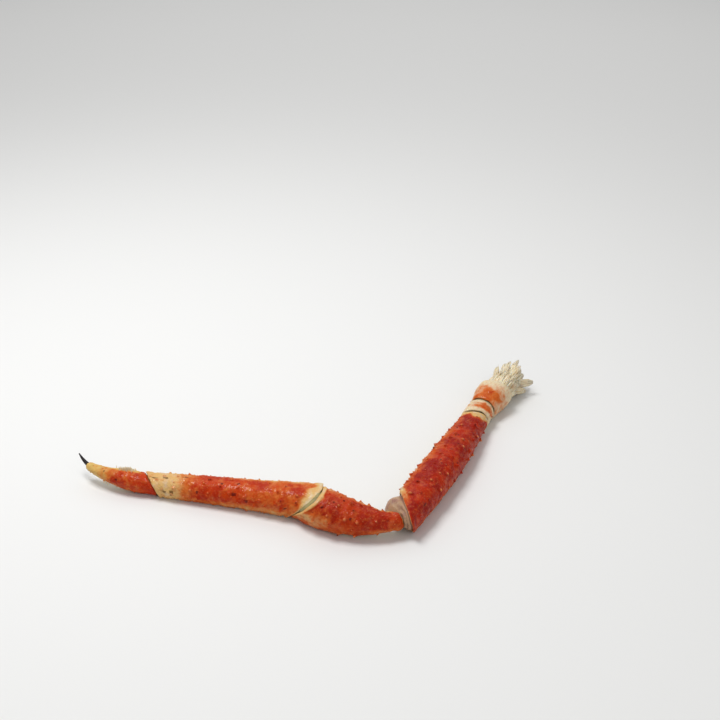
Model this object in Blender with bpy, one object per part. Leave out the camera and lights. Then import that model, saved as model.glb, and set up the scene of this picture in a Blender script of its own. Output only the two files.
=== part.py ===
"""One cooked crab leg, lying on its side with the knee bent and the toe curled in.

From the body outwards it is the shoulder meat, the coxa sleeve that the meat runs through, the
ischium, the merus, the carpus, the propodus and the dactyl with its dark nail. A soft membrane
fills each joint. The origin is on the surface that the leg lies on, under the middle of its
outline seen from above, with +X to the right, +Y away from the viewer and +Z up.
"""

import math
import random
from collections import namedtuple

import bmesh
import bpy
import numpy as np
from mathutils import Vector

MM = 0.001

# Driving dimensions. The lengths run along each segment's axis, from the body towards the toe.
COXA_LENGTH = 17 * MM
ISCHIUM_LENGTH = 13 * MM
MERUS_LENGTH = 104 * MM
CARPUS_LENGTH = 51.5 * MM
PROPODUS_LENGTH = 85.1 * MM
DACTYL_LENGTH = 38.4 * MM
NAIL_LENGTH = 11.3 * MM

# Where the coxa's open end is, which puts the origin under the middle of the outline.
SHOULDER_X = 106.3 * MM
SHOULDER_Y = 55.4 * MM

# Clearance between neighbouring solids, and the depth of the soft joints that fill the rest.
FACE_GAP = 0.3 * MM
HIP_DEPTH = 2.2 * MM
BASE_DEPTH = 2.0 * MM
KNEE_REACH = 7.6 * MM
WRIST_DEPTH = 2.0 * MM
TOE_DEPTH = 1.3 * MM

# A shell's section: its width lies in the leg's own plane and its thickness stands on the surface.
# Three low keels run along it. Angles start on the inner side of the bend (0) and go over the top
# (90) to the outer side (180).
PLAN_SHARE = 1.06
THICK_SHARE = 0.95
SQUARENESS = 2.25
KEEL_HEIGHT = 0.045
KEEL_SPREAD = math.radians(17)
KEEL_ANGLES = tuple(math.radians(angle) for angle in (52, 175, 232))
SINK = 0.5 * MM
LIP = 0.9 * MM
SOFT_INSET = 1.45 * MM
SLANT_REACH = 2.4
SLANT_BLEND = 1.0 * MM
COXA_WALL = 1.5 * MM
SIDES = 20
AXIS_STEPS = 200

# Spines: low cones whose tips lean towards the toe, in staggered rows along the shell.
SPINE_ROWS = (12, 50, 88, 122, 152, 182, 228, 330)
SPINE_SIDES = 5
SPINE_BASE = 0.62
SPINE_TIP = 0.14
SPINE_LEAN = 0.55
SPINE_ROOT = 0.5 * MM
SPINE_CLEARANCE = 0.3 * MM
SPINE_ENDS = 0.045
SPINE_START = 0.3
SPINE_STAGGER = 0.45
SPINE_WANDER = 0.22
SPINE_SWING = 10
SPINE_HEIGHTS = (0.5, 1.35)
SPINE_SEED = 7

# Shoulder meat: a core that runs through the coxa and swells where it leaves the shell, as
# (share of the reach, share of the shell's size), and the torn strips that stand off its end.
MEAT_REACH = 24 * MM
MEAT_SWELL = ((0, 0.8), (0.22, 1.02), (0.5, 1.08), (0.75, 0.9), (0.93, 0.55), (1, 0.3))
MEAT_LUMPS = ((3, 4, 0.08), (7, -9, 0.06))
MEAT_SIDES = 24
MEAT_RINGS = 14
FLAKE_COUNT = 24
FLAKE_SIDES = 6
FLAKE_LENGTH = (9 * MM, 14 * MM)
FLAKE_WIDTH = (4.0 * MM, 6.5 * MM)
FLAKE_THICKNESS = (1.8 * MM, 2.8 * MM)
FLAKE_DROOP = (-2 * MM, 2 * MM)
FLAKE_FAN = (0.15, 0.65)
FLAKE_TWIST = (-0.5, 0.5)
FLAKE_ROOTS = 0.68
FLAKE_TAPER = 0.6
FLAKE_CLEARANCE = 0.4 * MM
MEAT_SEED = 11

# Turning by this share of a circle each time spreads any number of things evenly round it.
GOLDEN_SHARE = 0.618

Segment = namedtuple("Segment", "name start heading turn power length widths near far height")


def smooth_through(stations, shares):
    """A cubic through (share, value) stations, with each station's slope set by its neighbours."""
    at = np.array([share for share, value in stations], float)
    value = np.array([value for share, value in stations], float)
    slope = np.gradient(value, at)
    k = np.clip(np.searchsorted(at, shares, side="right") - 1, 0, len(at) - 2)
    width = at[k + 1] - at[k]
    u = (shares - at[k]) / width
    return (
        value[k] * (1 + 2 * u) * (1 - u) ** 2
        + slope[k] * width * u * (1 - u) ** 2
        + value[k + 1] * u**2 * (3 - 2 * u)
        + slope[k + 1] * width * u**2 * (u - 1)
    )


def axis_of(segment, shares):
    """Points and headings along the axis. The heading turns with a power of the share of length."""
    shares = np.clip(np.asarray(shares, float), 0, 1)
    fine = np.linspace(0, 1, AXIS_STEPS + 1)
    middle = (fine[1:] + fine[:-1]) / 2
    heading = segment.heading + segment.turn * middle**segment.power
    step = segment.length / AXIS_STEPS
    moves = step * np.stack([np.cos(heading), np.sin(heading)], axis=1)
    track = np.vstack([np.zeros(2), np.cumsum(moves, axis=0)]) + np.array(segment.start)
    points = np.stack([np.interp(shares, fine, track[:, k]) for k in (0, 1)], axis=1)
    return points, segment.heading + segment.turn * shares**segment.power


def directions(heading):
    """The directions ahead along an axis and inwards across it, towards the inside of the bend."""
    level = 0 * np.asarray(heading)
    ahead = np.stack([np.cos(heading), np.sin(heading), level], axis=-1)
    inward = np.stack([np.sin(heading), -np.cos(heading), level], axis=-1)
    return ahead, inward


def half_sizes(segment, shares):
    """Half the width in the leg's plane and half the thickness across it."""
    width = smooth_through(segment.widths, shares) / 2
    return width * PLAN_SHARE, width * THICK_SHARE


def resting_height(width):
    """Height of an axis whose underside lies on the surface, where the section is this wide."""
    return width / 2 * THICK_SHARE - SINK


def axis_height(segment, shares):
    """Height of the axis. Where the segment states none, its underside lies on the surface."""
    if segment.height is None:
        return resting_height(smooth_through(segment.widths, shares))
    near, far = segment.height
    return near + (far - near) * np.asarray(shares, float)


def section(angles):
    """A rounded section of radius about 1, with three low keels: (across, up) for each angle."""
    cosine, sine = np.cos(angles), np.sin(angles)
    radius = (np.abs(cosine) ** SQUARENESS + np.abs(sine) ** SQUARENESS) ** (-1 / SQUARENESS)
    for keel in KEEL_ANGLES:
        apart = np.angle(np.exp(1j * (angles - keel)))
        radius = radius + KEEL_HEIGHT * np.exp(-((apart / KEEL_SPREAD) ** 2))
    return radius * cosine, radius * sine


def end_slant(segment, shares):
    """How far a ring leans along the axis for each metre inwards, outwards and up: the slants of
    the two ends, which fade away from them with the square of the distance."""
    leans = np.zeros((3,) + np.shape(shares))
    for slants, size, apart in (
        (segment.near, segment.widths[0][1], shares),
        (segment.far, segment.widths[-1][1], 1 - shares),
    ):
        reach = SLANT_REACH * size / 2 * (1 + max(map(abs, slants)))
        fading = np.clip(1 - apart * segment.length / reach, 0, 1) ** 2
        leans += np.multiply.outer(slants, fading)
    return leans


def ring_points(segment, shares, angles, grow=0.0, along=0.0):
    """Surface points: the section at a share of the axis, widened by grow and moved along it."""
    shares, angles = np.broadcast_arrays(np.asarray(shares, float), np.asarray(angles, float))
    points, heading = axis_of(segment, shares.ravel())
    ahead, inward = directions(heading.reshape(shares.shape))
    plan, thick = half_sizes(segment, shares)
    across, up = section(angles)
    x, z = across * (plan + grow), up * (thick + grow)
    inner, outer, tilt = end_slant(segment, shares)
    blend = np.hypot(x, SLANT_BLEND)
    base = np.zeros(shares.shape + (3,))
    base[..., :2] = points.reshape(shares.shape + (2,))
    base[..., 2] = axis_height(segment, shares) + z
    lean = along + inner * (x + blend) / 2 + outer * (x - blend) / 2 + tilt * z
    return base + inward * x[..., None] + ahead * lean[..., None]


def on_surface(points):
    """Points below the surface that the leg lies on are raised to it, which makes a flat spot."""
    points = np.array(points)
    points[..., 2] = np.maximum(points[..., 2], 0)
    return points


def end_point(segment, beyond):
    """The point on the axis that lies a distance beyond a segment's far end."""
    point, heading = axis_of(segment, [1.0])
    ahead, _ = directions(heading[0])
    return point[0] + beyond * ahead[:2]


def make_segment(
    name, start, heading, turn, power, length, widths, near=(0, 0, 0), far=(0, 0, 0), height=None
):
    """A segment with its angles in degrees and its widths as (share of length, millimetres). Near
    and far give how each end slants along the axis for each metre inwards, outwards and up."""
    sizes = tuple((share, width * MM) for share, width in widths)
    return Segment(
        name, tuple(start), math.radians(heading), math.radians(turn), power, length, sizes,
        near, far, height,
    )


def lay_out_leg():
    """The chain of segments, each starting where the one before it ends."""
    coxa = make_segment(
        "coxa", (SHOULDER_X, SHOULDER_Y), 237, 5, 1, COXA_LENGTH,
        ((0, 19.5), (0.45, 18.6), (0.8, 16.4), (1, 15.4)),
        near=(0.2, 0.2, 0), far=(-0.1, -0.1, 0),
    )
    ischium = make_segment(
        "ischium", end_point(coxa, HIP_DEPTH), 243, 4, 1, ISCHIUM_LENGTH,
        ((0, 14.2), (0.5, 15.2), (1, 15.0)),
        near=(-0.1, -0.1, 0), far=(0.25, 0.25, 0),
    )
    merus = make_segment(
        "merus", end_point(ischium, BASE_DEPTH), 249, -8, 1, MERUS_LENGTH,
        ((0, 14.4), (0.12, 15.6), (0.35, 18.0), (0.65, 19.0), (0.85, 18.6), (0.96, 18.0), (1, 17.4)),
        near=(0.25, 0.25, 0), far=(-1.2, -1.15, 0.3),
    )
    wrist_height = resting_height(19.4 * MM)
    carpus = make_segment(
        "carpus", end_point(merus, KNEE_REACH), 210, -72, 0.5, CARPUS_LENGTH,
        ((0, 9.0), (0.12, 10.0), (0.33, 14.2), (0.57, 17.8), (0.8, 19.8), (1, 19.4)),
        near=(1.1, 0, 0), far=(0.45, 0.45, -1.15), height=(8.0 * MM, wrist_height),
    )
    propodus = make_segment(
        "propodus", end_point(carpus, WRIST_DEPTH), 164.5, 4.3, 1, PROPODUS_LENGTH,
        ((0, 18.5), (0.06, 18.0), (0.3, 15.5), (0.6, 13.9), (0.85, 12.6), (0.95, 12.0), (1, 11.8)),
        near=(-0.04, -0.04, -1.05), far=(0.7, 0.7, 0.45),
    )
    toe_height = resting_height(11.8 * MM)
    dactyl = make_segment(
        "dactyl", end_point(propodus, TOE_DEPTH), 171, -26, 1.5, DACTYL_LENGTH,
        ((0, 10.6), (0.2, 10.8), (0.4, 9.7), (0.6, 7.6), (0.8, 5.9), (0.94, 4.6), (1, 4.0)),
        near=(0.65, 0.65, 0.44), height=(toe_height, 8.6 * MM),
    )
    nail = make_segment(
        "nail", end_point(dactyl, FACE_GAP), 135, -14, 1, NAIL_LENGTH,
        ((0, 2.2), (0.3, 1.8), (0.7, 1.15), (1, 0.5)),
        height=(9.2 * MM, 11.0 * MM),
    )
    return coxa, ischium, merus, carpus, propodus, dactyl, nail


def make_material(name, colour, roughness):
    material = bpy.data.materials.new(name)
    material.use_nodes = True
    shader = material.node_tree.nodes["Principled BSDF"]
    shader.inputs["Base Color"].default_value = (*colour, 1)
    shader.inputs["Roughness"].default_value = roughness
    shader.inputs["Metallic"].default_value = 0
    return material


def add_object(name, mesh, material, home, leg):
    """Links a mesh as one named piece of the leg, shaded smooth, with its material."""
    obj = bpy.data.objects.new(name, mesh)
    home.objects.link(obj)
    obj.parent = leg
    mesh.materials.append(material)
    mesh.shade_smooth()
    return obj


def mesh_of(name, points, faces):
    """A mesh whose faces all point outwards."""
    mesh = bpy.data.meshes.new(name)
    mesh.from_pydata(points.tolist(), [], faces)
    body = bmesh.new()
    body.from_mesh(mesh)
    bmesh.ops.recalc_face_normals(body, faces=body.faces)
    body.to_mesh(mesh)
    body.free()
    return mesh


def loft(rings, name):
    """A closed mesh through a stack of rings with equal point counts, with a fan on each end."""
    rings = np.asarray(rings)
    count, sides = rings.shape[:2]
    middles = [rings[0].mean(axis=0), rings[-1].mean(axis=0)]
    near_middle, far_middle = count * sides, count * sides + 1
    last = (count - 1) * sides
    faces = []
    for side in range(sides):
        after = (side + 1) % sides
        for ring in range(count - 1):
            here, there = ring * sides, (ring + 1) * sides
            faces.append((here + side, here + after, there + after, there + side))
        faces.append((near_middle, after, side))
        faces.append((far_middle, last + side, last + after))
    return mesh_of(name, np.vstack([rings.reshape(-1, 3), middles]), faces)


def circle_angles(sides):
    return np.linspace(0, 2 * math.pi, sides, endpoint=False)


def shell_rings(segment, count, sides, near_lip=LIP, far_lip=LIP):
    """The rings of a shell segment, with a rounded lip at each end that turns in to the joint."""
    near, far = near_lip / segment.length, far_lip / segment.length
    stack = []
    for back in (1, 0.3):
        stack.append((near * (1 - back), -near_lip * back))
    for share in np.linspace(near, 1 - far, count):
        stack.append((share, 0))
    for back in (0.3, 1):
        stack.append((1 - far * (1 - back), -far_lip * back))
    angles = circle_angles(sides)
    return [on_surface(ring_points(segment, share, angles, grow=grow)) for share, grow in stack]


def outward(segment, share, angle):
    """A surface point, the direction straight out of the shell there, and the direction ahead."""
    nudge = 1e-3
    here, further, round_it = ring_points(
        segment, np.array([share, share + nudge, share]), np.array([angle, angle, angle + nudge])
    )
    ahead = (further - here) / np.linalg.norm(further - here)
    out = np.cross(ahead, round_it - here)
    out = out / np.linalg.norm(out)
    point, _ = axis_of(segment, [share])
    centre = np.array([*point[0], float(axis_height(segment, share))])
    return here, out if out @ (here - centre) > 0 else -out, ahead


def spine_places(segment, spacing, rows, tall, dice):
    """Shares, angles and heights of a segment's spines: staggered rows, each spine a little off."""
    places = []
    count = max(1, round(segment.length / spacing))
    for number, row in enumerate(rows):
        for step in range(count):
            wander = dice.uniform(-SPINE_WANDER, SPINE_WANDER)
            share = (step + SPINE_START + SPINE_STAGGER * (number % 2) + wander) / count
            angle = math.radians(row + dice.uniform(-SPINE_SWING, SPINE_SWING))
            height = tall * dice.uniform(*SPINE_HEIGHTS)
            if SPINE_ENDS < share < 1 - SPINE_ENDS:
                places.append((share, angle, height))
    return places


def fuse(obj, pieces):
    """Joins a collection of closed pieces to an object by one Boolean union, and removes them."""
    join = obj.modifiers.new("join", "BOOLEAN")
    join.operation = "UNION"
    join.operand_type = "COLLECTION"
    join.collection = pieces
    join.solver = "EXACT"
    bpy.context.view_layer.update()
    graph = bpy.context.evaluated_depsgraph_get()
    mesh = bpy.data.meshes.new_from_object(obj.evaluated_get(graph))
    material = obj.data.materials[0]
    obj.modifiers.clear()
    obj.data = mesh
    mesh.materials.clear()
    mesh.materials.append(material)
    for piece in list(pieces.objects):
        bpy.data.objects.remove(piece)
    bpy.data.collections.remove(pieces)


def add_spines(obj, segment, places, cutters):
    """Fuses a cone for each spine onto the shell, except where it would touch the surface below."""
    spines = bpy.data.collections.new(segment.name + "_spines")
    cutters.children.link(spines)
    for share, angle, height in places:
        root, out, ahead = outward(segment, share, angle)
        pointing = Vector(out + SPINE_LEAN * ahead).normalized()
        radius = SPINE_BASE * height
        lowest = root[2] + min(pointing.z * height, -radius)
        if lowest < SPINE_CLEARANCE:
            continue
        bpy.ops.mesh.primitive_cone_add(
            vertices=SPINE_SIDES, radius1=radius, radius2=SPINE_TIP * height,
            depth=height + SPINE_ROOT, location=Vector(root) + pointing * (height - SPINE_ROOT) / 2,
            rotation=pointing.to_track_quat("Z", "Y").to_euler(),
        )
        cone = bpy.context.active_object
        for holder in list(cone.users_collection):
            holder.objects.unlink(cone)
        spines.objects.link(cone)
    fuse(obj, spines)


def build_shell(segment, rings, material, home, leg):
    mesh = loft(shell_rings(segment, rings, SIDES), segment.name)
    return add_object(segment.name, mesh, material, home, leg)


def build_sleeve(segment, rings, material, home, leg):
    """The coxa: a shell that is open at both ends, as a wall of even thickness round the meat."""
    angles = circle_angles(SIDES)
    shares = np.linspace(0, 1, rings)
    outer = [on_surface(ring_points(segment, share, angles)) for share in shares]
    inner = [ring_points(segment, share, angles, grow=-COXA_WALL) for share in shares[::-1]]
    stack = np.array(outer + inner)
    count = len(stack)
    faces = []
    for ring in range(count):
        here, there = ring * SIDES, (ring + 1) % count * SIDES
        for side in range(SIDES):
            after = (side + 1) % SIDES
            faces.append((here + side, here + after, there + after, there + side))
    mesh = mesh_of(segment.name, stack.reshape(-1, 3), faces)
    return add_object(segment.name, mesh, material, home, leg)


def build_membrane(name, near, far, rings, bulge, material, home, leg, inner_bulge=0.0):
    """A soft joint: a loft from one segment's far face to the next one's near face, set back
    from both by the gap, and swelling in between by bulge, more so on the inner side."""
    angles = circle_angles(SIDES)
    first = ring_points(near, 1.0, angles, grow=-SOFT_INSET, along=FACE_GAP)
    last = ring_points(far, 0.0, angles, grow=-SOFT_INSET, along=-FACE_GAP)
    stack = []
    for share in np.linspace(0, 1, rings):
        ring = first * (1 - share) + last * share
        away = ring - ring.mean(axis=0)
        away = away / np.linalg.norm(away, axis=1, keepdims=True)
        swell = math.sin(math.pi * share) * (bulge + inner_bulge * np.clip(np.cos(angles), 0, 1))
        stack.append(on_surface(ring + away * swell[:, None]))
    return add_object(name, loft(stack, name), material, home, leg)


def flake_rings(root, pointing, wide, length, width, thickness, droop):
    """A torn strip of meat: a flat section that narrows along a line which bends by droop."""
    flat = np.cross(pointing, wide)
    angles = circle_angles(FLAKE_SIDES)
    rings = []
    for share in (0, 0.4, 0.75, 1):
        middle = root + pointing * length * share - flat * droop * share**2
        taper = 1 - FLAKE_TAPER * share**1.5
        across = wide * (width / 2 * taper * np.cos(angles))[:, None]
        rings.append(middle + across + flat * (thickness / 2 * taper * np.sin(angles))[:, None])
    rings = np.array(rings)
    rings[..., 2] += max(0, FLAKE_CLEARANCE - rings[..., 2].min())
    return rings


def build_meat(coxa, material, home, leg, cutters):
    """Shoulder meat: a lumpy core with its torn strips fused on, fanning out round the end."""
    dice = random.Random(MEAT_SEED)
    angles = circle_angles(MEAT_SIDES)
    plan, thick = half_sizes(coxa, 0.0)
    (origin,), (heading,) = axis_of(coxa, [0.0])
    ahead, inward = directions(heading)
    up = np.array([0, 0, 1])
    start = np.array([*origin, float(axis_height(coxa, 0.0))])
    stack = []
    for share in np.linspace(0.97, 0.03, 5):
        stack.append(ring_points(coxa, share, angles, grow=-COXA_WALL - FACE_GAP))
    for share in np.linspace(0.04, 1, MEAT_RINGS):
        size = smooth_through(MEAT_SWELL, np.array([share]))[0]
        for waves, twist, depth in MEAT_LUMPS:
            size = size * (1 + depth * share * np.sin(waves * angles + twist * share))
        across = inward * (plan * size * np.cos(angles))[:, None]
        rise = up * (thick * size * np.sin(angles))[:, None]
        stack.append(on_surface(start - ahead * MEAT_REACH * share + across + rise))
    meat = add_object("shoulder_meat", loft(stack, "shoulder_meat"), material, home, leg)

    flakes = bpy.data.collections.new("flakes")
    cutters.children.link(flakes)
    for number in range(FLAKE_COUNT):
        turn = 2 * math.pi * (number * GOLDEN_SHARE % 1)
        share = 0.3 + 0.6 * (number / FLAKE_COUNT)
        size = FLAKE_ROOTS * smooth_through(MEAT_SWELL, np.array([share]))[0]
        radial = inward * math.cos(turn) + up * math.sin(turn)
        root = (
            start
            - ahead * MEAT_REACH * share
            + inward * plan * size * math.cos(turn)
            + up * thick * size * math.sin(turn)
        )
        pointing = -ahead + dice.uniform(*FLAKE_FAN) * radial
        pointing = pointing / np.linalg.norm(pointing)
        wide = np.cross(radial, pointing) + dice.uniform(*FLAKE_TWIST) * radial
        wide = wide - pointing * (wide @ pointing)
        wide = wide / np.linalg.norm(wide)
        rings = flake_rings(
            root, pointing, wide, dice.uniform(*FLAKE_LENGTH),
            dice.uniform(*FLAKE_WIDTH), dice.uniform(*FLAKE_THICKNESS), dice.uniform(*FLAKE_DROOP),
        )
        flake = bpy.data.objects.new(f"flake_{number}", loft(rings, f"flake_{number}"))
        flakes.objects.link(flake)
    fuse(meat, flakes)
    return meat


def main():
    for obj in list(bpy.data.objects):
        bpy.data.objects.remove(obj)
    home = bpy.data.collections.new("crab_leg")
    cutters = bpy.data.collections.new("cutters")
    bpy.context.scene.collection.children.link(home)
    bpy.context.scene.collection.children.link(cutters)
    leg = bpy.data.objects.new("leg", None)
    home.objects.link(leg)

    shell = make_material("shell", (0.56, 0.09, 0.03), 0.35)
    pale = make_material("pale shell", (0.74, 0.45, 0.22), 0.4)
    soft = make_material("joint membrane", (0.72, 0.55, 0.33), 0.45)
    horn = make_material("nail", (0.02, 0.012, 0.01), 0.3)
    flesh = make_material("meat", (0.72, 0.66, 0.52), 0.5)

    coxa, ischium, merus, carpus, propodus, dactyl, nail = lay_out_leg()
    build_sleeve(coxa, 7, pale, home, leg)

    # For each spiny segment: rings, material, then its spines' spacing, rows and height.
    plan = (
        (ischium, 5, pale, 6.5 * MM, (50, 110, 170), 1.1 * MM),
        (merus, 24, shell, 9.5 * MM, SPINE_ROWS, 1.5 * MM),
        (carpus, 15, shell, 9.0 * MM, SPINE_ROWS[:-1], 1.35 * MM),
        (propodus, 20, shell, 9.0 * MM, SPINE_ROWS, 1.25 * MM),
        (dactyl, 12, shell, 9.0 * MM, (30, 100, 175, 230), 0.8 * MM),
    )
    for number, (segment, rings, material, spacing, rows, tall) in enumerate(plan):
        obj = build_shell(segment, rings, material, home, leg)
        dice = random.Random(SPINE_SEED + number)
        add_spines(obj, segment, spine_places(segment, spacing, rows, tall, dice), cutters)

    tip = loft(shell_rings(nail, 6, 8, near_lip=0.15 * MM, far_lip=0.2 * MM), "nail")
    add_object("nail", tip, horn, home, leg)

    build_membrane("hip_membrane", coxa, ischium, 4, 0.2 * MM, soft, home, leg)
    build_membrane("base_membrane", ischium, merus, 4, 0.2 * MM, soft, home, leg)
    build_membrane("knee_membrane", merus, carpus, 9, 0.5 * MM, soft, home, leg, inner_bulge=4.6 * MM)
    build_membrane("wrist_membrane", carpus, propodus, 4, 0.2 * MM, soft, home, leg)
    build_membrane("toe_membrane", propodus, dactyl, 4, 0.2 * MM, soft, home, leg)
    build_meat(coxa, flesh, home, leg, cutters)


main()
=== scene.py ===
import random
from collections import namedtuple
from functools import reduce
from math import cos, pi, radians, sin, sqrt

import bpy
import numpy as np
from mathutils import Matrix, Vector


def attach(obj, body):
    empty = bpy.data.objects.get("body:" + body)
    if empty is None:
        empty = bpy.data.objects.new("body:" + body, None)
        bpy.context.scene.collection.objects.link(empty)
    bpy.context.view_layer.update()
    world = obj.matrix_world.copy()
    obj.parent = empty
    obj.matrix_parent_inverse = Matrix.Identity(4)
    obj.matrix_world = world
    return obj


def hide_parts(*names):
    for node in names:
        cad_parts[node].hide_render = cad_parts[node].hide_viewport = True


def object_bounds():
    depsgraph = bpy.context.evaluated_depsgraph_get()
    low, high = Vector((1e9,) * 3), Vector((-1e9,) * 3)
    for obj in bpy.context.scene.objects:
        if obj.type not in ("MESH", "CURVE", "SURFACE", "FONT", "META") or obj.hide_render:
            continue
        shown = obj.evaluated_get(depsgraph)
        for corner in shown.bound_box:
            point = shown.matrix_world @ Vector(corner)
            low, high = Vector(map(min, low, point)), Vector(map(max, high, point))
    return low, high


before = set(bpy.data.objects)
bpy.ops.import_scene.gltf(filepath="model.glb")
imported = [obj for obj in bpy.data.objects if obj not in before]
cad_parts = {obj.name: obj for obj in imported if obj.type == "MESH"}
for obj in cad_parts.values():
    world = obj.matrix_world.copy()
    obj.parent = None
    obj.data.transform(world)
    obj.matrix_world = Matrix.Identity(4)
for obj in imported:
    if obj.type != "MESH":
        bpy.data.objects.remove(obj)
cad_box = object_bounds()

# Coxa: the short open sleeve at the body end, which the shoulder meat runs through. It is ivory
# shell about 1.5 mm thick with flecks of orange, and it tore off unevenly where the leg was pulled
# from the body.
MM = 0.001
COXA_LENGTH = 17 * MM
COXA_WALL = 1.5 * MM
SHOULDER = (106.3 * MM, 55.4 * MM)

# A limb's section is a little wider in the leg's own plane than it is thick, and carries three
# low keels. Angles start on the inner side of the bend (0) and go over the top (90) to the outer
# side (180).
PLAN_SHARE = 1.06
THICK_SHARE = 0.95
SQUARENESS = 2.25
KEEL_HEIGHT = 0.045
KEEL_SPREAD = radians(17)
KEEL_ANGLES = tuple(radians(angle) for angle in (52, 175, 232))
SINK = 0.5 * MM
SLANT_REACH = 2.4
SLANT_BLEND = 1.0 * MM
AXIS_STEPS = 200

Limb = namedtuple("Limb", "start heading turn power length widths near far height")


def limb(start, heading, turn, power, length, widths, near=(0, 0, 0), far=(0, 0, 0), height=None):
    """A limb's sizes: angles in degrees, widths as (share of length, millimetres), and for each end
    how far it slants along the axis for each metre inwards, outwards and up."""
    sizes = tuple((share, width * MM) for share, width in widths)
    heading, turn = radians(heading), radians(turn)
    return Limb(tuple(start), heading, turn, power, length, sizes, near, far, height)


def smooth_through(stations, shares):
    """A cubic through (share, value) stations, with each station's slope set by its neighbours."""
    at = np.array([share for share, value in stations], float)
    value = np.array([value for share, value in stations], float)
    slope = np.gradient(value, at)
    k = np.clip(np.searchsorted(at, shares, side="right") - 1, 0, len(at) - 2)
    width = at[k + 1] - at[k]
    u = (shares - at[k]) / width
    return (
        value[k] * (1 + 2 * u) * (1 - u) ** 2
        + slope[k] * width * u * (1 - u) ** 2
        + value[k + 1] * u**2 * (3 - 2 * u)
        + slope[k + 1] * width * u**2 * (u - 1)
    )


def axis_of(part, shares):
    """Points and headings along a limb's axis, whose heading turns with a power of the share of
    its length: heading = start + turn * share ** power, summed in short steps."""
    fine = np.linspace(0, 1, AXIS_STEPS + 1)
    middle = (fine[1:] + fine[:-1]) / 2
    heading = part.heading + part.turn * middle**part.power
    moves = part.length / AXIS_STEPS * np.stack([np.cos(heading), np.sin(heading)], axis=1)
    track = np.vstack([np.zeros(2), np.cumsum(moves, axis=0)]) + np.array(part.start)
    points = np.stack([np.interp(shares, fine, track[:, k]) for k in (0, 1)], axis=-1)
    return points, part.heading + part.turn * np.clip(shares, 0, 1) ** part.power


def directions(heading):
    """The directions ahead along an axis and inwards across it, as level unit vectors."""
    level = 0 * np.asarray(heading)
    ahead = np.stack([np.cos(heading), np.sin(heading), level], axis=-1)
    inward = np.stack([np.sin(heading), -np.cos(heading), level], axis=-1)
    return ahead, inward


def resting_height(width):
    """Height of an axis whose underside lies on the surface, where the section is this wide."""
    return width / 2 * THICK_SHARE - SINK


def axis_height(part, shares):
    """Height of the axis: a straight line between two stated heights, or resting on the surface."""
    if part.height is None:
        return resting_height(smooth_through(part.widths, shares))
    return part.height[0] + (part.height[1] - part.height[0]) * np.asarray(shares, float)


def turned_from(angles, centre):
    """How far each angle is turned from a centre angle, from minus half a turn to half a turn."""
    return np.angle(np.exp(1j * (angles - centre)))


def section(angles):
    """A superellipse of radius about 1 with a bell-shaped keel added at each keel angle."""
    cosine, sine = np.cos(angles), np.sin(angles)
    radius = (np.abs(cosine) ** SQUARENESS + np.abs(sine) ** SQUARENESS) ** (-1 / SQUARENESS)
    for keel in KEEL_ANGLES:
        radius = radius + KEEL_HEIGHT * np.exp(-((turned_from(angles, keel) / KEEL_SPREAD) ** 2))
    return radius * cosine, radius * sine


def end_slant(part, shares):
    """How far a ring leans along the axis for each metre inwards, outwards and up: the slants of the
    two ends, which fade away from them with the square of the distance."""
    leans = np.zeros((3,) + shares.shape)
    for slants, size, apart in (
        (part.near, part.widths[0][1], shares),
        (part.far, part.widths[-1][1], 1 - shares),
    ):
        reach = SLANT_REACH * size / 2 * (1 + max(map(abs, slants)))
        leans += np.multiply.outer(slants, np.clip(1 - apart * part.length / reach, 0, 1) ** 2)
    return leans


def skin(part, shares, angles, grow=0.0, along=0.0):
    """Points on a limb: its section at a share of the axis, widened by grow, moved along by along,
    and leaned near the ends."""
    shares, angles = np.broadcast_arrays(np.asarray(shares, float), np.asarray(angles, float))
    middle, heading = axis_of(part, shares)
    ahead, inward = directions(heading)
    half = smooth_through(part.widths, shares) / 2
    across, up = section(angles)
    x, z = across * (half * PLAN_SHARE + grow), up * (half * THICK_SHARE + grow)
    inner, outer, tilt = end_slant(part, shares)
    soft = np.hypot(x, SLANT_BLEND)
    lean = along + inner * (x + soft) / 2 + outer * (x - soft) / 2 + tilt * z
    base = np.concatenate([middle, (axis_height(part, shares) + z)[..., None]], axis=-1)
    return base + inward * x[..., None] + ahead * lean[..., None]


def lie_on_surface(points):
    """Points below the surface that the leg lies on are raised to it, which makes a flat spot."""
    return np.maximum(points, (-np.inf, -np.inf, 0))


def limb_end(part, beyond):
    """The point on the axis that lies a distance beyond a limb's far end."""
    point, heading = axis_of(part, np.array([1.0]))
    ahead, _ = directions(heading[0])
    return point[0] + beyond * ahead[:2]


def round_angles(count):
    """Angles evenly round a section, of which the first is 0."""
    return np.linspace(0, 2 * pi, count, endpoint=False)


def unit(vectors):
    """Vectors divided by their own length."""
    return vectors / np.maximum(np.linalg.norm(vectors, axis=-1, keepdims=True), 1e-12)


def fade(value, full, none):
    """A smooth step: 1 up to full, 0 from none on, or the other way round when none is smaller."""
    u = np.clip((value - none) / (full - none), 0, 1)
    return u * u * (3 - 2 * u)


def bell(angles, centre, half_width):
    """A bell round the section: 1 at the centre angle and about a third at the half width."""
    return np.exp(-((turned_from(angles, radians(centre)) / radians(half_width)) ** 2))


def ripples(*waves):
    """A sum of sine waves, each given as its height and its phase."""
    return sum(height * np.sin(phase) for height, phase in waves)


def uneven(distance, angles, seed, shortest, count=40, most=6):
    """A soft random field on a tube, of spread about 1: a sum of sine waves that run along and round
    it, each with a random phase, a length of at least shortest and at most so many waves round."""
    dice = np.random.RandomState(seed)
    field = 0
    for _ in range(count):
        length = shortest * dice.uniform(1, 4)
        waves = dice.randint(-most, most + 1)
        field = field + np.sin(2 * pi * (distance / length + dice.uniform()) + waves * angles)
    return field * sqrt(2 / count)


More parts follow.
